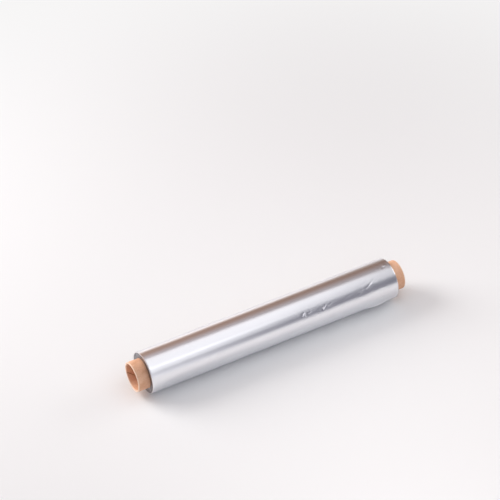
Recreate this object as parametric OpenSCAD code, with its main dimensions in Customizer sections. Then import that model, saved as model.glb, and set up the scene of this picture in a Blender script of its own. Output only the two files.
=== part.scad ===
// A roll of aluminium foil lying on its side: the foil is wound on a plain
// spiral-wound cardboard core whose two ends stand out past it.
// The roll's axis runs along X, and it rests at z = 0 on its soft flat spot.

/* [Foil] */
// Width of the foil, which is the length of the wound roll
foil_w = 300; // [150:10:450]
// Depth of the wound foil over the core
wound_depth = 7; // [5:0.5:24]
// Width of the flat spot where the soft outer turns rest
flat_w = 6; // [3:0.5:10]
// Distance from the turn below to the free edge of the foil, where it lies loose
tail_step = 0.3; // [0.1:0.05:0.6]
// Where the free edge lies around the roll, in degrees below the front
tail_angle = 30; // [20:1:65]

/* [Wound ends] */
// Spacing of the ridges that bundles of turns form on each end
turn_pitch = 0.6; // [0.5:0.05:1.5]
// Width of the groove between two ridges
groove_w = 0.25; // [0.1:0.05:0.3]
// Depth of the groove between two ridges
groove_depth = 0.5; // [0.2:0.1:1.5]

/* [Core] */
// Outer diameter of the cardboard core
core_d = 33; // [25:0.5:38]
// Thickness of the core's wall
core_wall = 1.8; // [1:0.1:3]
// How far the core stands out past the foil at each end
core_out = 13; // [5:0.5:25]
// Gap all round between the core and the first turn
wound_gap = 0.05; // [0.02:0.01:0.2]

/* [Hidden] */

core_r = core_d / 2;
roll_r = core_r + wound_depth;
core_len = foil_w + 2 * core_out;
first_r = core_r + wound_gap;
// The last turn's radius at the bottom, nearly a whole turn back from the free edge
bottom_r = skin_r(270 + tail_angle);
// The flat spot cuts a chord off the outer turns there, which lowers the axis a little.
axis_z = sqrt(bottom_r * bottom_r - flat_w * flat_w / 4);
// Sides of one turn in the foil's outline and in the grooves on its ends
outline_steps = 120;
groove_steps = 40;
// Turns of the groove that fit between the core and the last turn, with a rim at each side
groove_turns = floor((roll_r - tail_step - first_r) / turn_pitch) - 1;
groove_start_r = first_r + turn_pitch / 2;
eps = 0.01;

// Lays a shape drawn in X and Y along the roll: its X becomes the row's Y,
// its Y becomes Z, and its thickness runs along X.
module along_roll(len) {
    translate([-len / 2, 0, axis_z]) rotate([90, 0, 90]) linear_extrude(len) children();
}

// The last turn's radius, going back from its free edge by an angle
function skin_r(back) = roll_r - tail_step * back / 360;

// Points of the last turn. It runs from the free edge up over the front and the top,
// and comes back under the edge one step lower.
function skin_points() = [
    for (i = [0 : outline_steps])
        let (back = 360 * i / outline_steps, at = 180 + tail_angle - back)
        skin_r(back) * [cos(at), sin(at)]
];

// One edge of the spiral groove, set off from its middle line
function groove_edge(off) = [
    for (i = [0 : groove_turns * groove_steps])
        let (turn = i / groove_steps, at = 180 + tail_angle - 360 * turn)
        (groove_start_r + turn_pitch * (groove_turns - turn) + off) * [cos(at), sin(at)]
];

function reversed(list) = [for (i = [len(list) - 1 : -1 : 0]) list[i]];

module groove_outline() {
    polygon(concat(groove_edge(groove_w / 2), reversed(groove_edge(-groove_w / 2))));
}

module roll_outline() {
    difference() {
        polygon(skin_points());
        translate([-roll_r, -2 * roll_r - axis_z]) square(2 * roll_r);
    }
}

module foil() {
    color([0.86, 0.86, 0.90])
    difference() {
        along_roll(foil_w) roll_outline();
        // The core's bore through the turns
        translate([-foil_w / 2 - eps, 0, axis_z]) rotate([0, 90, 0])
            cylinder(h = foil_w + 2 * eps, r = first_r, $fn = 96);
        // The turns show on both ends as one spiral groove
        for (side = [-1, 1])
            translate([side * foil_w / 2, 0, 0]) along_roll(2 * groove_depth) groove_outline();
    }
}

module core() {
    color([0.80, 0.60, 0.44])
    translate([0, 0, axis_z]) rotate([0, 90, 0])
        difference() {
            cylinder(h = core_len, r = core_r, center = true, $fn = 96);
            cylinder(h = core_len + 2 * eps, r = core_r - core_wall, center = true, $fn = 96);
        }
}

core();
foil();
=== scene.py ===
import math

import bmesh
import bpy
from mathutils import Matrix, Vector, noise


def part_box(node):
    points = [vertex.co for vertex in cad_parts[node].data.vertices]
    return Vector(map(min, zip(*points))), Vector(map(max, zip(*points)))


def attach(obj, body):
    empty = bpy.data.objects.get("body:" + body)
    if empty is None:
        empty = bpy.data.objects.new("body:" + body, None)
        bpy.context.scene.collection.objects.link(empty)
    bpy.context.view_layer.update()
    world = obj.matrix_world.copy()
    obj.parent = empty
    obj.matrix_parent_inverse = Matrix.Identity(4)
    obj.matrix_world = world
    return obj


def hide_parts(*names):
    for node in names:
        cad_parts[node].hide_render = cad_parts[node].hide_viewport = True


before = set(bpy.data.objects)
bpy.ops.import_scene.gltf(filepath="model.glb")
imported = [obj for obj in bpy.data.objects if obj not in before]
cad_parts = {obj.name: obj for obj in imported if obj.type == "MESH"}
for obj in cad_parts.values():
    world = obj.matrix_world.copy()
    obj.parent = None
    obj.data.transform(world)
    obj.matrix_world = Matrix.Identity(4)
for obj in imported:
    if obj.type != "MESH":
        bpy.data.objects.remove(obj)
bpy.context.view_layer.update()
coreLow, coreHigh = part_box("core")
foilLow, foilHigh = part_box("foil")
axisHeight = (coreLow.z + coreHigh.z) / 2
print("frame loaded, the roll's axis is at", round(axisHeight, 5))


def hexColour(code):  # sRGB hex to linear
    values = [int(code[i:i + 2], 16) / 255 for i in (1, 3, 5)]
    linear = [v / 12.92 if v <= 0.04045 else ((v + 0.055) / 1.055) ** 2.4 for v in values]
    return (*linear, 1)


def addNode(tree, kind, settings=None, inputs=None):
    node = tree.nodes.new(kind)
    for name, value in (settings or {}).items():
        setattr(node, name, value)
    for name, value in (inputs or {}).items():
        socket = node.inputs[name]
        value = value.outputs[0] if isinstance(value, bpy.types.Node) else value
        if isinstance(value, bpy.types.NodeSocket):
            tree.links.new(value, socket)
        else:
            socket.default_value = value
    return node


def newMaterial(name):
    material = bpy.data.materials.new(name)
    material.use_nodes = True
    tree = material.node_tree
    tree.nodes.clear()
    shader = addNode(tree, "ShaderNodeBsdfPrincipled")
    addNode(tree, "ShaderNodeOutputMaterial", inputs={"Surface": shader.outputs["BSDF"]})
    return material, tree, shader


def fillRamp(ramp, stops):
    elements = ramp.color_ramp.elements
    for index, (place, code) in enumerate(stops):
        element = elements[index] if index < 2 else elements.new(place)
        element.position = place
        element.color = hexColour(code)
    return ramp.outputs["Color"]


def newTree(name, sizes):  # sizes gives each named input its socket type
    tree = bpy.data.node_groups.new(name, "GeometryNodeTree")
    tree.interface.new_socket("Geometry", in_out="INPUT", socket_type="NodeSocketGeometry")
    tree.interface.new_socket("Geometry", in_out="OUTPUT", socket_type="NodeSocketGeometry")
    for label, kind in sizes.items():
        tree.interface.new_socket(label, in_out="INPUT", socket_type=kind)
    return tree, addNode(tree, "NodeGroupInput").outputs


def closeTree(tree, geometry, material):  # every tree ends the same way
    solid = addNode(tree, "GeometryNodeRealizeInstances", inputs={"Geometry": geometry})
    painted = addNode(tree, "GeometryNodeSetMaterial",
                      inputs={"Geometry": solid.outputs["Geometry"], "Material": material})
    addNode(tree, "NodeGroupOutput", inputs={"Geometry": painted.outputs["Geometry"]})


def runTree(name, tree, values, mesh=None):  # the modifier's result becomes a plain mesh
    maker = bpy.data.objects.new(name + "Maker", mesh or bpy.data.meshes.new(name + "Start"))
    bpy.context.scene.collection.objects.link(maker)
    modifier = maker.modifiers.new(name, "NODES")
    modifier.node_group = tree
    for item in tree.interface.items_tree:
        if item.in_out == "INPUT" and item.name in values:
            modifier[item.identifier] = values[item.name]
    depsgraph = bpy.context.evaluated_depsgraph_get()
    made = bpy.data.meshes.new_from_object(maker.evaluated_get(depsgraph))
    maker.modifiers.remove(modifier)
    bpy.data.objects.remove(maker)
    return made


def placePiece(name, mesh, sharpAngle):
    mesh.name = name
    mesh.shade_smooth()
    mesh.set_sharp_from_angle(angle=math.radians(sharpAngle))
    piece = bpy.data.objects.new(name, mesh)
    bpy.context.scene.collection.objects.link(piece)
    return piece


def cleanMesh(mesh, mergeDistance=0.000002):
    work = bmesh.new()
    work.from_mesh(mesh)
    bmesh.ops.remove_doubles(work, verts=work.verts, dist=mergeDistance)
    bmesh.ops.dissolve_degenerate(work, edges=work.edges, dist=mergeDistance / 10)
    bmesh.ops.recalc_face_normals(work, faces=work.faces)
    work.to_mesh(mesh)
    work.free()


def spread(start, end, step):  # even places from start up to end, which isn't one of them
    count = max(1, round(abs(end - start) / step))
    return [start + (end - start) * i / count for i in range(count)]


def closedGrid(name, points, across):  # rows of points, joined round both ways
    down = len(points) // across
    faces = []
    for i in range(down):
        nextRow = (i + 1) % down
        for j in range(across):
            nextColumn = (j + 1) % across
            faces.append((i * across + j, i * across + nextColumn,
                          nextRow * across + nextColumn, nextRow * across + j))
    mesh = bpy.data.meshes.new(name)
    mesh.from_pydata(points, [], faces)
    return mesh


foilLook = {
    "colour": "#F3F3F6",
    "dullColour": "#E9E9ED",
    "cloudScale": 22,  # of the duller patches
    "roughness": 0.29,
    "roughnessSpread": 0.01,
    "anisotropy": 0.55,
    "anisotropyTurn": 0.25,  # a quarter turn, which smears along the roll
    "rollLine": 0.0009,  # spacing of the fine rolling lines, drawn ten times too coarse so that they show
    "rollLineLength": 0.04,
    "lineDepth": 0.0000008,
    "lineStrength": 0.3,
}


def makeFoilMaterial():
    # Bright rolled aluminium foil: a mirror dulled by fine lines that run round the roll,
    # which smear its reflections along the roll and leave them sharper round it.
    material, tree, shader = newMaterial("brightRolledFoil")
    where = addNode(tree, "ShaderNodeTexCoord").outputs["Object"]
    across, along = 1 / foilLook["rollLine"], 1 / foilLook["rollLineLength"]
    stretched = addNode(tree, "ShaderNodeMapping", inputs={"Vector": where, "Scale": (across, along, along)})
    lines = addNode(tree, "ShaderNodeTexNoise", inputs={
        "Vector": stretched.outputs["Vector"], "Scale": 1, "Detail": 3, "Roughness": 0.6})
    clouds = addNode(tree, "ShaderNodeTexNoise", inputs={
        "Vector": where, "Scale": foilLook["cloudScale"], "Detail": 3, "Roughness": 0.5})
    colour = addNode(tree, "ShaderNodeMix", {"data_type": "RGBA"}, {
        "Factor": clouds, "A": hexColour(foilLook["colour"]), "B": hexColour(foilLook["dullColour"])})
    rough = addNode(tree, "ShaderNodeMapRange", inputs={
        "Value": lines.outputs["Fac"], "From Min": 0.3, "From Max": 0.7,
        "To Min": foilLook["roughness"] - foilLook["roughnessSpread"],
        "To Max": foilLook["roughness"] + foilLook["roughnessSpread"]})
    bump = addNode(tree, "ShaderNodeBump", inputs={
        "Height": lines.outputs["Fac"], "Strength": foilLook["lineStrength"],
        "Distance": foilLook["lineDepth"]})
    aroundRoll = addNode(tree, "ShaderNodeTangent", {"direction_type": "RADIAL", "axis": "X"})
    tree.links.new(colour.outputs["Result"], shader.inputs["Base Color"])
    tree.links.new(rough.outputs["Result"], shader.inputs["Roughness"])
    tree.links.new(bump.outputs["Normal"], shader.inputs["Normal"])
    tree.links.new(aroundRoll.outputs["Tangent"], shader.inputs["Tangent"])
    shader.inputs["Metallic"].default_value = 1
    shader.inputs["Anisotropic"].default_value = foilLook["anisotropy"]
    shader.inputs["Anisotropic Rotation"].default_value = foilLook["anisotropyTurn"]
    return material


endLook = {
    "colour": "#C9C9CE",
    "shade": "#85858C",
    "roughness": 0.38,
    "anisotropy": 0.5,
    "turn": 0.00042,  # spacing of the rings
    "ringScale": 1.3,
}


def makeEndMaterial():
    # Slit foil edges, hundreds packed together: duller and greyer than the face, in rings.
    material, tree, shader = newMaterial("slitFoilEdges")
    where = addNode(tree, "ShaderNodeTexCoord").outputs["Object"]
    centred = addNode(tree, "ShaderNodeMapping", inputs={"Vector": where, "Location": (0, 0, -axisHeight)})
    flat = addNode(tree, "ShaderNodeVectorMath", {"operation": "MULTIPLY"}, {
        0: centred.outputs["Vector"], 1: (0, 1, 1)})
    out = addNode(tree, "ShaderNodeVectorMath", {"operation": "LENGTH"}, {0: flat.outputs["Vector"]})
    ringPlace = addNode(tree, "ShaderNodeMath", {"operation": "MULTIPLY"}, {
        0: out.outputs["Value"], 1: 1 / endLook["turn"]})
    rings = addNode(tree, "ShaderNodeTexNoise", {"noise_dimensions": "1D"}, {
        "W": ringPlace.outputs["Value"], "Scale": endLook["ringScale"], "Detail": 4, "Roughness": 0.7})
    ramp = addNode(tree, "ShaderNodeValToRGB", inputs={"Fac": rings.outputs["Fac"]})
    ringColour = fillRamp(ramp, [(0.3, endLook["shade"]), (0.7, endLook["colour"])])
    tree.links.new(ringColour, shader.inputs["Base Color"])
    aroundRoll = addNode(tree, "ShaderNodeTangent", {"direction_type": "RADIAL", "axis": "X"})
    tree.links.new(aroundRoll.outputs["Tangent"], shader.inputs["Tangent"])
    shader.inputs["Metallic"].default_value = 1
    shader.inputs["Roughness"].default_value = endLook["roughness"]
    shader.inputs["Anisotropic"].default_value = endLook["anisotropy"]
    return material


boardLook = {
    "light": "#F0C1A0",
    "dark": "#DBA582",
    "paintedRimHighlight": "#F5DCC6",  # painted highlight: a paler band at each cut end of the core, where its rounded rim catches light
    "paintedRimWidth": 0.0005,
    "paintedRimShare": 0.8,  # of the painted highlight colour on that band
    "seam": "#8E6344",
    "plyWidth": 0.076,  # the paper strip that the core is wound from
    "seamWidth": 0.0005,
    "seamBlur": 1.4,
    "fibre": 0.0012,
    "fibreShare": 0.55,  # of the fibres in the colour, next to the clouds
    "fibreDepth": 0.00015,
    "fibreStrength": 0.5,
    "cloudScale": 90,
    "roughness": 0.78,
}


def makeBoardMaterial():
    # Kraft cardboard, wound on a slant from paper strips: matt, with fibres, one slanting seam and a painted
    # highlight along each cut end.
    material, tree, shader = newMaterial("kraftCoreBoard")
    where = addNode(tree, "ShaderNodeTexCoord").outputs["Object"]
    centred = addNode(tree, "ShaderNodeMapping", inputs={"Vector": where, "Location": (0, 0, -axisHeight)})
    axes = addNode(tree, "ShaderNodeSeparateXYZ", inputs={"Vector": centred}).outputs
    fibres = addNode(tree, "ShaderNodeTexNoise", inputs={
        "Vector": where, "Scale": 1 / boardLook["fibre"], "Detail": 4, "Roughness": 0.65,
        "Distortion": 0.6})
    clouds = addNode(tree, "ShaderNodeTexNoise", inputs={
        "Vector": where, "Scale": boardLook["cloudScale"], "Detail": 3})
    mixed = addNode(tree, "ShaderNodeMath", {"operation": "MULTIPLY_ADD"}, {
        0: fibres.outputs["Fac"], 1: boardLook["fibreShare"], 2: clouds.outputs["Fac"]})
    ramp = addNode(tree, "ShaderNodeValToRGB", inputs={"Fac": mixed.outputs["Value"]})
    paper = fillRamp(ramp, [(0.55, boardLook["dark"]), (0.95, boardLook["light"])])

    around = addNode(tree, "ShaderNodeMath", {"operation": "ARCTAN2"}, {0: axes["Z"], 1: axes["Y"]})
    turned = addNode(tree, "ShaderNodeMath", {"operation": "DIVIDE"}, {0: around, 1: 2 * math.pi})
    girth = math.pi * (coreHigh.z - coreLow.z)
    lead = girth / math.tan(math.acos(boardLook["plyWidth"] / girth))
    along = addNode(tree, "ShaderNodeMath", {"operation": "MULTIPLY_ADD"}, {
        0: axes["X"], 1: 1 / lead, 2: turned})
    place = addNode(tree, "ShaderNodeMath", {"operation": "FRACT"}, {0: along})
    fromSeam = addNode(tree, "ShaderNodeMath", {"operation": "SUBTRACT"}, {0: place, 1: 0.5})
    gap = addNode(tree, "ShaderNodeMath", {"operation": "ABSOLUTE"}, {0: fromSeam})
    seam = addNode(tree, "ShaderNodeMapRange", inputs={
        "Value": gap, "From Min": 0, "From Max": boardLook["seamWidth"] / girth * boardLook["seamBlur"],
        "To Min": 1, "To Max": 0})
    colour = addNode(tree, "ShaderNodeMix", {"data_type": "RGBA"}, {
        "Factor": seam.outputs["Result"], "A": paper, "B": hexColour(boardLook["seam"])})
    fromMiddle = addNode(tree, "ShaderNodeMath", {"operation": "ABSOLUTE"}, {0: axes["X"]})
    # painted highlight: the board turns paler towards each cut end, standing in for light caught on the
    # rounded rim
    paintedRimMask = addNode(tree, "ShaderNodeMapRange", inputs={
        "Value": fromMiddle, "From Min": coreHigh.x - 2 * boardLook["paintedRimWidth"],
        "From Max": coreHigh.x - boardLook["paintedRimWidth"], "To Min": 0,
        "To Max": boardLook["paintedRimShare"]})
    colour = addNode(tree, "ShaderNodeMix", {"data_type": "RGBA"}, {
        "Factor": paintedRimMask, "A": colour.outputs["Result"], "B": hexColour(boardLook["paintedRimHighlight"])})
    raised = addNode(tree, "ShaderNodeMath", {"operation": "SUBTRACT"}, {
        0: fibres.outputs["Fac"], 1: seam.outputs["Result"]})
    bump = addNode(tree, "ShaderNodeBump", inputs={
        "Height": raised.outputs["Value"], "Strength": boardLook["fibreStrength"],
        "Distance": boardLook["fibreDepth"]})
    tree.links.new(colour.outputs["Result"], shader.inputs["Base Color"])
    tree.links.new(bump.outputs["Normal"], shader.inputs["Normal"])
    shader.inputs["Roughness"].default_value = boardLook["roughness"]
    return material


foilMaterial = makeFoilMaterial()
endMaterial = makeEndMaterial()
boardMaterial = makeBoardMaterial()
print("materials made")

foil = {
    "radius": 0.0235,  # at the free edge
    "turnStep": 0.0003,  # the spiral comes in by this much in one turn
    "freeEdge": 210,  # degrees round the roll, from the back over the top to the front
    "loosePart": 12,  # degrees of the last turn that can lift off
    "thickness": 0.00006,  # of the loose part, thicker than real foil so that its edge shows
    "bore": 0.01655,  # a hair wider than the core
    "endRecess": 0.0005,
    "cornerWidth": 0.0014,  # the rounded rim at each end, along the roll
    "cornerDrop": 0.0007,  # and how far the rim comes in
    "rimFace": 0.00015,  # the narrow flat ring inside the rim's round
    "rimAngles": (18, 36, 54, 72, 90),  # degrees, where the rim's round is bent
    "endDip": 0.0001,  # the turns are pressed in a little just before each end
    "endDipPlace": 0.0024,
    "waveHeight": 0.00004,
    "waveLength": 0.028,
    "waveStretch": 0.6,  # the waves are longer along the roll
    "waveMiddle": 0.75,  # most of each wave goes inwards
    "waveShare": (-0.05, 0.14, 0.35, 1.3),  # from one place to another along the roll, from low to high
    "waveLimit": -0.00025,  # what lies deeper than this is rim, bore or end, and has no waves
    "waveSeed": 7.0,
    # mesh steps, in degrees round the roll and metres along it, finer where the marks are
    "fineArc": 130,
    "stepsRound": {"fine": 1.2, "coarse": 2.6, "hidden": 4, "under": 2},
    "plainAlong": (0.006, 0.020),  # from this far past the near end to this far past the middle
    "stepsAlong": {"fine": 0.0006, "coarse": 0.002},
    "sharpAngle": 38,
    # where the loose edge stands off: middle and half length in mm, height in mm
    "lifts": [(124, 18, 1.5), (-92, 40, 0.3), (20, 60, 0.15)],
    # creases: start and end as (mm from the middle, degrees round), then depth and half width in mm
    "creases": [
        ((29, 149), (34.5, 140), 0.36, 0.9),
        ((33.5, 151), (37, 144.5), -0.28, 0.8),
        ((34.5, 146), (42, 144), 0.22, 0.8),
        ((49, 149.5), (58, 147), 0.26, 1.0),
        ((54.5, 154), (60.5, 140), 0.38, 1.0),
        ((60.5, 151), (68, 142), 0.32, 1.1),
        ((74, 151), (95, 139), 0.12, 1.1),
        ((102, 149), (111, 140), -0.26, 1.0),
        ((109, 143), (117, 134), 0.25, 0.9),
        ((115, 136), (124.5, 124), 0.30, 0.9),
        ((116, 139), (121, 130), -0.16, 0.9),
        ((120, 132), (128, 129), 0.14, 0.9),
        ((92.8, 204), (106, 190), 0.18, 0.9),
        ((137, 105), (146, 98), 0.20, 0.8),
        ((141, 96), (148, 104), -0.16, 0.8),
    ],
    "creaseWander": 0.7,  # mm off the straight line
    "creaseFall": 1.3,
    "creaseReach": 3,  # half widths, past which a crease is too low to count
    # crumpled places: mm from the middle, degrees round, half length, half breadth and depth in mm
    "crumples": [
        (35, 145, 10, 5, 0.10),
        (59, 146, 12, 5, 0.10),
        (114, 138, 17, 8, 0.12),
        (128, 172, 20, 10, 0.12),
        (100, 197, 12, 5, 0.14),
        (141, 100, 9, 7, 0.12),
        (-120, 40, 22, 14, 0.10),
        (30, 20, 40, 16, 0.08),
    ],
    "crumpleSize": 5.5,
    "foldWidth": 0.6,  # as a share of a crumple's size
    "crumpleReach": 5,
    # shallow dents: mm from the middle, degrees round, half length, half breadth and depth in mm
    "dents": [
        (108, 143, 9, 5, 0.16),
        (122, 165, 22, 7, 0.14),
        (70, 160, 30, 6, 0.08),
        (40, 120, 35, 7, 0.05),
        (-60, 150, 45, 6, 0.04),
        (-110, 60, 30, 9, 0.10),
        (60, 40, 40, 8, 0.08),
        (-20, 5, 35, 9, 0.10),
        (95, 350, 25, 8, 0.12),
    ],
    "dentReach": 6,
}


def liftAt(x, back):
    height = 0
    for middle, half, top in foil["lifts"]:
        t = abs(x * 1000 - middle) / half
        if t < 1:
            height += top * (1 - t * t) ** 2
    return height * 0.001 * max(0, 1 - back / foil["loosePart"]) ** 4


def marksAt(x, angle):
    angle += 360 if angle < -130 else 0  # below the free edge and under the loose part the marks go on
    mmX = x * 1000
    mmRound = math.radians(angle) * foil["radius"] * 1000
    depth = 0
    for (x0, a0), (x1, a1), top, half in foil["creases"]:
        r0 = math.radians(a0) * foil["radius"] * 1000
        r1 = math.radians(a1) * foil["radius"] * 1000
        dx, dr = x1 - x0, r1 - r0
        t = ((mmX - x0) * dx + (mmRound - r0) * dr) / (dx * dx + dr * dr)
        if -0.5 < t < 1.5:
            inside = min(1, max(0, t))
            length = math.hypot(dx, dr)
            wander = foil["creaseWander"] * noise.noise((x0, a0, inside * length / 3))
            offX = mmX - x0 - inside * dx + wander * dr / length
            offRound = mmRound - r0 - inside * dr - wander * dx / length
            away = math.hypot(offX, offRound)
            if away < foil["creaseReach"] * half:
                fall = math.exp(-away / half * foil["creaseFall"])
                depth += top * fall * (1 - abs(2 * inside - 1) ** 3)
    for middle, about, halfLength, halfBreadth, top in foil["dents"]:
        offRound = mmRound - math.radians(about) * foil["radius"] * 1000
        t = ((mmX - middle) / halfLength) ** 2 + (offRound / halfBreadth) ** 2
        if t < foil["dentReach"]:
            depth += top * math.exp(-t)
    for middle, about, halfLength, halfBreadth, top in foil["crumples"]:
        offRound = mmRound - math.radians(about) * foil["radius"] * 1000
        t = ((mmX - middle) / halfLength) ** 2 + (offRound / halfBreadth) ** 2
        if t < foil["crumpleReach"]:
            spot = Vector((mmX, mmRound, middle)) / foil["crumpleSize"]
            near, second = noise.voronoi(spot)[0][:2]  # folds run where two cells meet
            width = foil["foldWidth"]
            depth += top * math.exp(-t) * (width - min(width, second - near)) / width
    return -depth * 0.001


def makeFlatSheet():  # the last turn laid flat, with the wound ends and the bore folded in
    half = (foilHigh.x - foilLow.x) / 2
    loose = foil["loosePart"]
    girth = 2 * math.pi * foil["radius"]
    fineArc, stepsRound = foil["fineArc"], foil["stepsRound"]
    backs = spread(0, fineArc, stepsRound["fine"]) + spread(fineArc, 360, stepsRound["coarse"])
    backs += spread(360, 360 + loose, stepsRound["hidden"])
    columns = [(back, False) for back in backs]
    columns += [(360 + loose, False)]
    columns += [(back, True) for back in spread(loose, 0, stepsRound["under"]) + [0]]
    flatHalf = half - foil["cornerWidth"]
    plainFrom, plainTo = foil["plainAlong"][0] - flatHalf, foil["plainAlong"][1]
    fine, coarse = foil["stepsAlong"]["fine"], foil["stepsAlong"]["coarse"]
    skinX = spread(-flatHalf, plainFrom, fine) + spread(plainFrom, plainTo, coarse)
    skinX += spread(plainTo, flatHalf, fine) + [flatHalf]
    recessX = half - foil["endRecess"]
    bends = [half - foil["cornerWidth"] * (1 - math.sin(math.radians(a))) for a in foil["rimAngles"]]
    rows = [(-recessX, "bore"), (-recessX, "recess"), (-half, "rim")]
    rows += [(-x, "skin") for x in reversed(bends)]
    rows += [(x, "skin") for x in skinX + bends]
    rows += [(half, "rim"), (recessX, "recess"), (recessX, "bore")]
    recessRadius = foil["radius"] - foil["turnStep"] - foil["cornerDrop"]
    points = []
    for x, kind in rows:
        for back, under in columns:
            folded = under or back > 360
            if kind == "skin":
                height = liftAt(x, back) + marksAt(x, foil["freeEdge"] - back)
                fromEnd = (half - abs(x)) / foil["endDipPlace"]
                height -= foil["endDip"] * fromEnd * math.exp(1 - fromEnd)
                overRim = max(0, 1 - (half - abs(x)) / foil["cornerWidth"])
                height -= foil["cornerDrop"] * (1 - math.sqrt(max(0, 1 - overRim * overRim)))
                if under:
                    height -= foil["thickness"]
                points.append((x, back / 360 * girth, height))
            elif kind == "rim" and not folded:
                points.append((x, back / 360 * girth, -foil["cornerDrop"] - foil["rimFace"]))
            else:
                radius = foil["bore"] if kind == "bore" else recessRadius
                back = 360 if folded else back
                spiral = foil["radius"] - foil["turnStep"] * back / 360
                points.append((math.copysign(recessX, x), back / 360 * girth, radius - spiral))
    return closedGrid("flatSheet", points, len(columns))


def makeWrapTree():  # wraps a flat sheet round the core as a spiral
    tree, given = newTree("wrapFoil", {
        "Radius": "NodeSocketFloat", "Turn Step": "NodeSocketFloat", "Free Edge Angle": "NodeSocketFloat",
        "Axis Height": "NodeSocketFloat", "Wave Height": "NodeSocketFloat",
        "Wave Length": "NodeSocketFloat", "Seed": "NodeSocketFloat", "Material": "NodeSocketMaterial"})

    flat = addNode(tree, "ShaderNodeSeparateXYZ", inputs={
        "Vector": addNode(tree, "GeometryNodeInputPosition")}).outputs
    girth = addNode(tree, "ShaderNodeMath", {"operation": "MULTIPLY"}, {
        0: given["Radius"], 1: 2 * math.pi})
    turned = addNode(tree, "ShaderNodeMath", {"operation": "DIVIDE"}, {0: flat["Y"], 1: girth})
    angle = addNode(tree, "ShaderNodeMath", {"operation": "MULTIPLY_ADD"}, {
        0: turned, 1: -2 * math.pi, 2: given["Free Edge Angle"]})
    inward = addNode(tree, "ShaderNodeMath", {"operation": "MULTIPLY"}, {0: given["Turn Step"], 1: turned})
    spiral = addNode(tree, "ShaderNodeMath", {"operation": "SUBTRACT"}, {0: given["Radius"], 1: inward})
    radius = addNode(tree, "ShaderNodeMath", {"operation": "ADD"}, {0: spiral, 1: flat["Z"]})
    cosine = addNode(tree, "ShaderNodeMath", {"operation": "COSINE"}, {0: angle})
    sine = addNode(tree, "ShaderNodeMath", {"operation": "SINE"}, {0: angle})

    # slack foil: long low waves, lower towards the near end
    along = addNode(tree, "ShaderNodeMath", {"operation": "MULTIPLY"}, {
        0: flat["X"], 1: foil["waveStretch"]})
    across = addNode(tree, "ShaderNodeMath", {"operation": "MULTIPLY"}, {0: cosine, 1: given["Radius"]})
    upright = addNode(tree, "ShaderNodeMath", {"operation": "MULTIPLY"}, {0: sine, 1: given["Radius"]})
    place = addNode(tree, "ShaderNodeCombineXYZ", inputs={"X": along, "Y": across, "Z": upright})
    scale = addNode(tree, "ShaderNodeMath", {"operation": "DIVIDE"}, {0: 1.0, 1: given["Wave Length"]})
    slack = addNode(tree, "ShaderNodeTexNoise", {"noise_dimensions": "4D"}, {
        "Vector": place, "W": given["Seed"], "Scale": scale, "Detail": 2.0, "Roughness": 0.4})
    onFace = addNode(tree, "ShaderNodeMath", {"operation": "GREATER_THAN"}, {
        0: flat["Z"], 1: foil["waveLimit"]})
    start, end, low, high = foil["waveShare"]
    towardsEnd = addNode(tree, "ShaderNodeMapRange", inputs={
        "Value": flat["X"], "From Min": start, "From Max": end, "To Min": low, "To Max": high})
    faceHeight = addNode(tree, "ShaderNodeMath", {"operation": "MULTIPLY"}, {
        0: given["Wave Height"], 1: onFace})
    height = addNode(tree, "ShaderNodeMath", {"operation": "MULTIPLY"}, {0: faceHeight, 1: towardsEnd})
    centred = addNode(tree, "ShaderNodeMath", {"operation": "SUBTRACT"}, {
        0: slack, 1: foil["waveMiddle"]})
    waved = addNode(tree, "ShaderNodeMath", {"operation": "MULTIPLY_ADD"}, {
        0: centred, 1: height, 2: radius})

    back = addNode(tree, "ShaderNodeMath", {"operation": "MULTIPLY"}, {0: waved, 1: cosine})
    raised = addNode(tree, "ShaderNodeMath", {"operation": "MULTIPLY_ADD"}, {
        0: waved, 1: sine, 2: given["Axis Height"]})
    wound = addNode(tree, "ShaderNodeCombineXYZ", inputs={"X": flat["X"], "Y": back, "Z": raised})
    rolled = addNode(tree, "GeometryNodeSetPosition", inputs={
        "Geometry": given["Geometry"], "Position": wound})
    closeTree(tree, rolled.outputs["Geometry"], given["Material"])
    return tree


def makeFoilFace():
    mesh = runTree("wrapFoil", makeWrapTree(), {
        "Radius": foil["radius"], "Turn Step": foil["turnStep"],
        "Free Edge Angle": math.radians(foil["freeEdge"]), "Axis Height": axisHeight,
        "Wave Height": foil["waveHeight"], "Wave Length": foil["waveLength"], "Seed": foil["waveSeed"],
        "Material": foilMaterial}, makeFlatSheet())
    for vertex in mesh.vertices:
        vertex.co.z = max(vertex.co.z, 0)  # the flat spot that the roll lies on
    cleanMesh(mesh)
    return placePiece("foilFace", mesh, foil["sharpAngle"])


foilFace = makeFoilFace()
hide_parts("foil")
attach(foilFace, "root")
print("foil wrapped,", len(foilFace.data.polygons), "faces")

turns = {
    "inner": 0.0168,
    "outer": 0.0226,
    "count": 14,  # each stands for some forty turns of real foil
    "ridge": 0.00030,
    "depth": 0.0009,
    "unevenness": 0.00045,
    "wander": 0.8,  # how quickly an edge comes in and goes out round the roll
    "turnShift": 3.7,  # keeps one turn's edge unlike the next one's
    "stepsPerTurn": 110,
    "sharpAngle": 30,
    "ends": {"woundEndNear": (-1, 3.0), "woundEndFar": (1, 11.0)},  # side and seed
}


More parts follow.
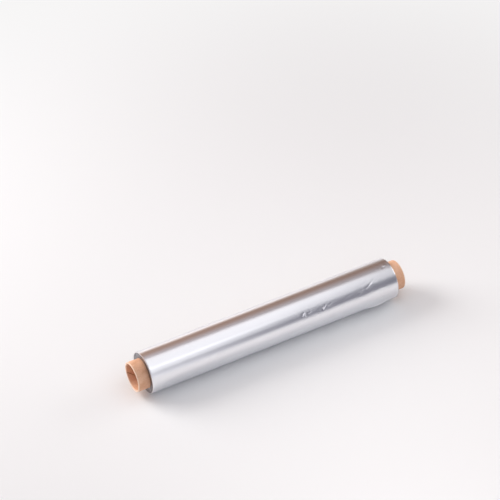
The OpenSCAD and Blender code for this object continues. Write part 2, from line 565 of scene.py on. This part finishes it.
def makeTurnsTree():  # a spiral ribbon whose outer edge stands in and out from turn to turn
    tree, given = newTree("woundTurns", {
        "Inner Radius": "NodeSocketFloat", "Outer Radius": "NodeSocketFloat", "Turns": "NodeSocketFloat",
        "Ridge Width": "NodeSocketFloat", "Depth": "NodeSocketFloat", "Unevenness": "NodeSocketFloat",
        "Steps Per Turn": "NodeSocketInt", "Seed": "NodeSocketFloat", "Side": "NodeSocketFloat",
        "End": "NodeSocketFloat", "Axis Height": "NodeSocketFloat", "Material": "NodeSocketMaterial"})

    spiral = addNode(tree, "GeometryNodeCurveSpiral", inputs={
        "Resolution": given["Steps Per Turn"], "Rotations": given["Turns"],
        "Start Radius": given["Inner Radius"], "End Radius": given["Outer Radius"], "Height": 0.0,
        "Reverse": True})
    upright = addNode(tree, "GeometryNodeSetCurveNormal", {"mode": "Z_UP"}, {"Curve": spiral})
    ridge = addNode(tree, "GeometryNodeCurvePrimitiveQuadrilateral", inputs={
        "Width": given["Ridge Width"], "Height": given["Depth"]})
    ribbon = addNode(tree, "GeometryNodeCurveToMesh", inputs={
        "Curve": upright.outputs["Curve"], "Profile Curve": ridge.outputs["Curve"], "Fill Caps": True})

    # which turn each point is on, counted along the spiral
    axes = addNode(tree, "ShaderNodeSeparateXYZ", inputs={
        "Vector": addNode(tree, "GeometryNodeInputPosition")}).outputs
    inPlane = addNode(tree, "ShaderNodeCombineXYZ", inputs={"X": axes["X"], "Y": axes["Y"]})
    out = addNode(tree, "ShaderNodeVectorMath", {"operation": "LENGTH"}, {0: inPlane}).outputs["Value"]
    bearing = addNode(tree, "ShaderNodeMath", {"operation": "ARCTAN2"}, {0: axes["Y"], 1: axes["X"]})
    wallDepth = addNode(tree, "ShaderNodeMath", {"operation": "SUBTRACT"}, {
        0: given["Outer Radius"], 1: given["Inner Radius"]})
    pitch = addNode(tree, "ShaderNodeMath", {"operation": "DIVIDE"}, {0: wallDepth, 1: given["Turns"]})
    turn = addNode(tree, "ShaderNodeMath", {"operation": "DIVIDE"}, {0: out, 1: pitch})
    part = addNode(tree, "ShaderNodeMath", {"operation": "DIVIDE"}, {0: bearing, 1: 2 * math.pi})
    whole = addNode(tree, "ShaderNodeMath", {"operation": "SUBTRACT"}, {0: turn, 1: part})
    counted = addNode(tree, "ShaderNodeMath", {"operation": "ROUND"}, {0: whole})

    # each turn's edge wanders in by its own amount
    apart = addNode(tree, "ShaderNodeMath", {"operation": "MULTIPLY"}, {
        0: counted, 1: turns["turnShift"]})
    cosine = addNode(tree, "ShaderNodeMath", {"operation": "COSINE"}, {0: bearing})
    sine = addNode(tree, "ShaderNodeMath", {"operation": "SINE"}, {0: bearing})
    coords = addNode(tree, "ShaderNodeCombineXYZ", inputs={"X": apart, "Y": cosine, "Z": sine})
    random = addNode(tree, "ShaderNodeTexNoise", {"noise_dimensions": "4D"}, {
        "Vector": coords, "W": given["Seed"], "Scale": turns["wander"], "Detail": 1.0})
    inward = addNode(tree, "ShaderNodeMath", {"operation": "MULTIPLY"}, {
        0: random, 1: given["Unevenness"]})
    edge = addNode(tree, "ShaderNodeMath", {"operation": "SUBTRACT"}, {0: axes["Z"], 1: inward})
    shifted = addNode(tree, "ShaderNodeMath", {"operation": "MULTIPLY_ADD"}, {
        0: given["Depth"], 1: -0.5, 2: edge})
    sided = addNode(tree, "ShaderNodeMath", {"operation": "MULTIPLY_ADD"}, {
        0: shifted, 1: given["Side"], 2: given["End"]})
    raised = addNode(tree, "ShaderNodeMath", {"operation": "ADD"}, {0: axes["Y"], 1: given["Axis Height"]})
    standing = addNode(tree, "ShaderNodeCombineXYZ", inputs={"X": sided, "Y": axes["X"], "Z": raised})
    placed = addNode(tree, "GeometryNodeSetPosition", inputs={
        "Geometry": ribbon.outputs["Mesh"], "Position": standing})
    closeTree(tree, placed.outputs["Geometry"], given["Material"])
    return tree


def makeWoundEnd(name, side, seed, tree):
    mesh = runTree(name, tree, {
        "Inner Radius": turns["inner"], "Outer Radius": turns["outer"], "Turns": float(turns["count"]),
        "Ridge Width": turns["ridge"], "Depth": turns["depth"], "Unevenness": turns["unevenness"],
        "Steps Per Turn": turns["stepsPerTurn"], "Seed": seed, "Side": float(side),
        "End": side * (foilHigh.x - foilLow.x) / 2, "Axis Height": axisHeight, "Material": endMaterial})
    cleanMesh(mesh)
    piece = placePiece(name, mesh, turns["sharpAngle"])
    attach(piece, "root")
    print(name, "has", len(mesh.polygons), "faces, x from",
          round(min(v.co.x for v in mesh.vertices), 5), "to", round(max(v.co.x for v in mesh.vertices), 5))


turnsTree = makeTurnsTree()
for endName, (endSide, endSeed) in turns["ends"].items():
    makeWoundEnd(endName, endSide, endSeed, turnsTree)

core = {
    "wall": 0.0018,
    "plies": 4,
    "plyGroove": 0.00012,
    "plyGrooveHalf": 0.00008,
    "cornerRound": 0.00025,
    "cornerBend": 0.3,  # where the round's middle lies, as a share of its size
    "lap": 0.002,  # how far its outside is drawn in rings under the foil
    "ring": 0.001,
    "sides": 144,
    "endWander": 0.00012,  # how unevenly the ends are cut
    "endReach": 0.001,  # and how far in that is felt
    "endWaves": 1.6,  # how quickly it changes round the end
    "sharpAngle": 50,
}


def makeCore():
    half = (coreHigh.x - coreLow.x) / 2
    outer = (coreHigh.z - coreLow.z) / 2
    inner = outer - core["wall"]
    stub = half - (foilHigh.x - foilLow.x) / 2
    bevel = core["cornerRound"]
    ply = core["wall"] / core["plies"]
    outside = [(half - d, outer) for d in spread(stub + core["lap"], bevel, core["ring"])]
    outside += [(half - bevel, outer)]
    bend = bevel * core["cornerBend"]
    cut = [(half - bend, outer - bend), (half, outer - bevel)]
    groove = core["plyGrooveHalf"]
    for i in range(1, core["plies"]):
        at = outer - i * ply
        cut += [(half, at + groove), (half - core["plyGroove"], at), (half, at - groove)]
    cut += [(half, inner + bevel), (half - bend, inner + bend), (half - bevel, inner)]
    inside = [(half - stub, inner)]
    farEnd = outside + cut + inside
    profile = [(-x, r) for x, r in reversed(farEnd)] + farEnd
    sides = core["sides"]
    points = []
    for x, r in profile:
        for j in range(sides):
            a = 2 * math.pi * j / sides
            wander = 0
            if abs(x) > half - core["endReach"]:
                waves = core["endWaves"]
                wobble = noise.noise((math.cos(a) * waves, math.sin(a) * waves, math.copysign(4, x)))
                wander = core["endWander"] * (0.5 + 0.5 * wobble)
            points.append((x - math.copysign(wander, x), r * math.cos(a), axisHeight + r * math.sin(a)))
    mesh = closedGrid("coreTube", points, sides)
    cleanMesh(mesh)
    mesh.materials.append(boardMaterial)
    return placePiece("coreTube", mesh, core["sharpAngle"])


coreTube = makeCore()
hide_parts("core")
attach(coreTube, "root")
print("core made,", len(coreTube.data.polygons), "faces")

studio = {
    "floorColour": "#F2F3F3",
    "floorRoughness": 0.9,
    "floorSpecular": 0.1,
    "groundColour": "#F6F5F5",  # the same board far from the lamps
    "floorSize": 30,
    "fade": (0.24, 0.90),  # where the one passes into the other, from the roll outwards
    "behind": (-0.15, 0.3),  # where the front sky passes into the back one
    # sky colours as (height, colour), from the horizon at 0 to overhead at 1
    "front": [(0.0, "#C6C6CD"), (1.0, "#96959C"), (0.04, "#BDBDC5"), (0.11, "#9C9BA7"), (0.20, "#7C7B88"),
              (0.36, "#84838F"), (0.55, "#8C8C96")],
    "back": [(0.0, "#F6F3F2"), (1.0, "#B6B5BB"), (0.24, "#FBE8DE"), (0.42, "#B08A76"), (0.72, "#C0A396"),
             (0.86, "#DACFD1")],
    # the sky dims towards the far end: from and to as a share of the way there, and what is left
    "dimming": {"front": (0.15, 0.55, 0.7), "back": (0.26, 0.47, 0.32)},
    # place, what it points at, width, depth, turn in degrees, strength where 1 is a white sheet
    "softboxes": {
        "overheadSoftbox": ((0.08, -0.153, 0.56), (0.08, -0.108, 0.0), 0.46, 0.594, -16, 0.90),
        "farSoftbox": ((0.45, -0.289, 0.56), (0.45, -0.249, 0.0), 0.32, 0.582, -16, 0.31),
        "frontSoftbox": ((0.00, -0.41, 0.36), (0.03, 0.0, 0.02), 0.36, 0.26, 0, 0.86),
        "lowSoftbox": ((-0.10, -0.46, 0.13), (-0.03, 0.0, 0.02), 0.38, 0.18, 0, 0.66),
        "rimSoftbox": ((0.08, 0.85, 0.10), (0.0, 0.0, 0.03), 0.7, 0.16, 0, 0.5),
        "sideSoftbox": ((0.95, -0.10, 0.50), (0.15, 0.0, 0.02), 0.64, 0.26, 0, 4.0),
        "keySoftbox": ((-0.92, 0.98, 0.78), (0.0, 0.0, 0.0), 0.9, 0.9, 0, 7.6),
    },
    "notMirrored": "keySoftbox",  # it lights the floor and the core, and would only glare on the foil
}


def makeStudio():
    half = studio["floorSize"] / 2
    mesh = bpy.data.meshes.new("floor")
    corners = [(-half, -half, 0), (half, -half, 0), (half, half, 0), (-half, half, 0)]
    mesh.from_pydata(corners, [], [(0, 1, 2, 3)])
    material, tree, shader = newMaterial("matPaleBoard")
    shader.inputs["Base Color"].default_value = hexColour(studio["floorColour"])
    shader.inputs["Roughness"].default_value = studio["floorRoughness"]
    shader.inputs["Specular IOR Level"].default_value = studio["floorSpecular"]
    away = addNode(tree, "ShaderNodeVectorMath", {"operation": "LENGTH"}, {
        0: addNode(tree, "ShaderNodeTexCoord").outputs["Object"]}).outputs["Value"]
    fade = addNode(tree, "ShaderNodeMapRange", {"interpolation_type": "SMOOTHSTEP"}, {
        "Value": away, "From Min": studio["fade"][0], "From Max": studio["fade"][1]})
    ray = addNode(tree, "ShaderNodeLightPath").outputs
    seen = addNode(tree, "ShaderNodeMath", {"operation": "ADD"}, {
        0: ray["Is Camera Ray"], 1: ray["Is Glossy Ray"]})
    seenThrough = addNode(tree, "ShaderNodeMath", {"operation": "ADD", "use_clamp": True}, {
        0: seen, 1: ray["Is Transmission Ray"]})
    share = addNode(tree, "ShaderNodeMath", {"operation": "MULTIPLY"}, {0: fade, 1: seenThrough})
    ground = addNode(tree, "ShaderNodeEmission", inputs={
        "Color": hexColour(studio["groundColour"]), "Strength": 1.0})
    mixed = addNode(tree, "ShaderNodeMixShader", inputs={0: share, 1: shader, 2: ground})
    surface = [node for node in tree.nodes if node.type == "OUTPUT_MATERIAL"][0].inputs["Surface"]
    tree.links.new(mixed.outputs["Shader"], surface)
    mesh.materials.append(material)
    floor = bpy.data.objects.new("floor", mesh)
    bpy.context.scene.collection.objects.link(floor)

    world = bpy.data.worlds.new("studioRoom")
    bpy.context.scene.world = world
    world.use_nodes = True
    tree = world.node_tree
    tree.nodes.clear()
    way = addNode(tree, "ShaderNodeSeparateXYZ", inputs={
        "Vector": addNode(tree, "ShaderNodeTexCoord").outputs["Generated"]}).outputs
    halves = {}
    for side in ("front", "back"):
        ramp = addNode(tree, "ShaderNodeValToRGB", inputs={"Fac": way["Z"]})
        halves[side] = fillRamp(ramp, studio[side])
    behind = addNode(tree, "ShaderNodeMapRange", {"interpolation_type": "SMOOTHSTEP"}, {
        "Value": way["Y"], "From Min": studio["behind"][0], "From Max": studio["behind"][1]})
    sky = addNode(tree, "ShaderNodeMix", {"data_type": "RGBA"}, {
        "Factor": behind.outputs["Result"], "A": halves["front"], "B": halves["back"]})
    dims = {}
    for side, (start, end, left) in studio["dimming"].items():
        dims[side] = addNode(tree, "ShaderNodeMapRange", {"interpolation_type": "SMOOTHSTEP"}, {
            "Value": way["X"], "From Min": start, "From Max": end, "To Min": 1.0, "To Max": left})
    dim = addNode(tree, "ShaderNodeMix", {"data_type": "FLOAT"}, {
        "Factor": behind.outputs["Result"], "A": dims["front"].outputs["Result"],
        "B": dims["back"].outputs["Result"]})
    glow = addNode(tree, "ShaderNodeBackground", inputs={
        "Color": sky.outputs["Result"], "Strength": dim.outputs["Result"]})
    addNode(tree, "ShaderNodeOutputWorld", inputs={"Surface": glow.outputs["Background"]})

    for name, (place, target, width, depth, turn, strength) in studio["softboxes"].items():
        lamp = bpy.data.lights.new(name, "AREA")
        lamp.shape = "RECTANGLE"
        lamp.size = width
        lamp.size_y = depth
        lamp.energy = math.pi * width * depth * strength
        holder = bpy.data.objects.new(name, lamp)
        facing = (Vector(place) - Vector(target)).to_track_quat("Z", "Y").to_matrix().to_4x4()
        turned = Matrix.Rotation(math.radians(turn), 4, "Z")
        holder.matrix_world = Matrix.Translation(place) @ facing @ turned
        holder.visible_camera = False
        holder.visible_glossy = name != studio["notMirrored"]
        bpy.context.scene.collection.objects.link(holder)


view = {
    "place": (-0.6712, -1.2554, 1.2783),
    "right": (0.87543, -0.48238, -0.03033),
    "up": (0.32439, 0.53987, 0.77673),
    "lens": 127.34,
    "sensor": 36,
    "clip": (0.05, 60),
}


def makeCamera():
    camera = bpy.data.cameras.new("photoCamera")
    camera.lens = view["lens"]
    camera.sensor_width = view["sensor"]
    camera.clip_start, camera.clip_end = view["clip"]
    holder = bpy.data.objects.new("photoCamera", camera)
    right = Vector(view["right"]).normalized()
    up = Vector(view["up"])
    up = (up - right * up.dot(right)).normalized()
    turned = Matrix((right, up, right.cross(up))).transposed()
    holder.matrix_world = Matrix.Translation(view["place"]) @ turned.to_4x4()
    bpy.context.scene.collection.objects.link(holder)
    bpy.context.scene.camera = holder


makeStudio()
makeCamera()
bpy.context.scene.view_settings.view_transform = "Standard"
print("studio and camera set")
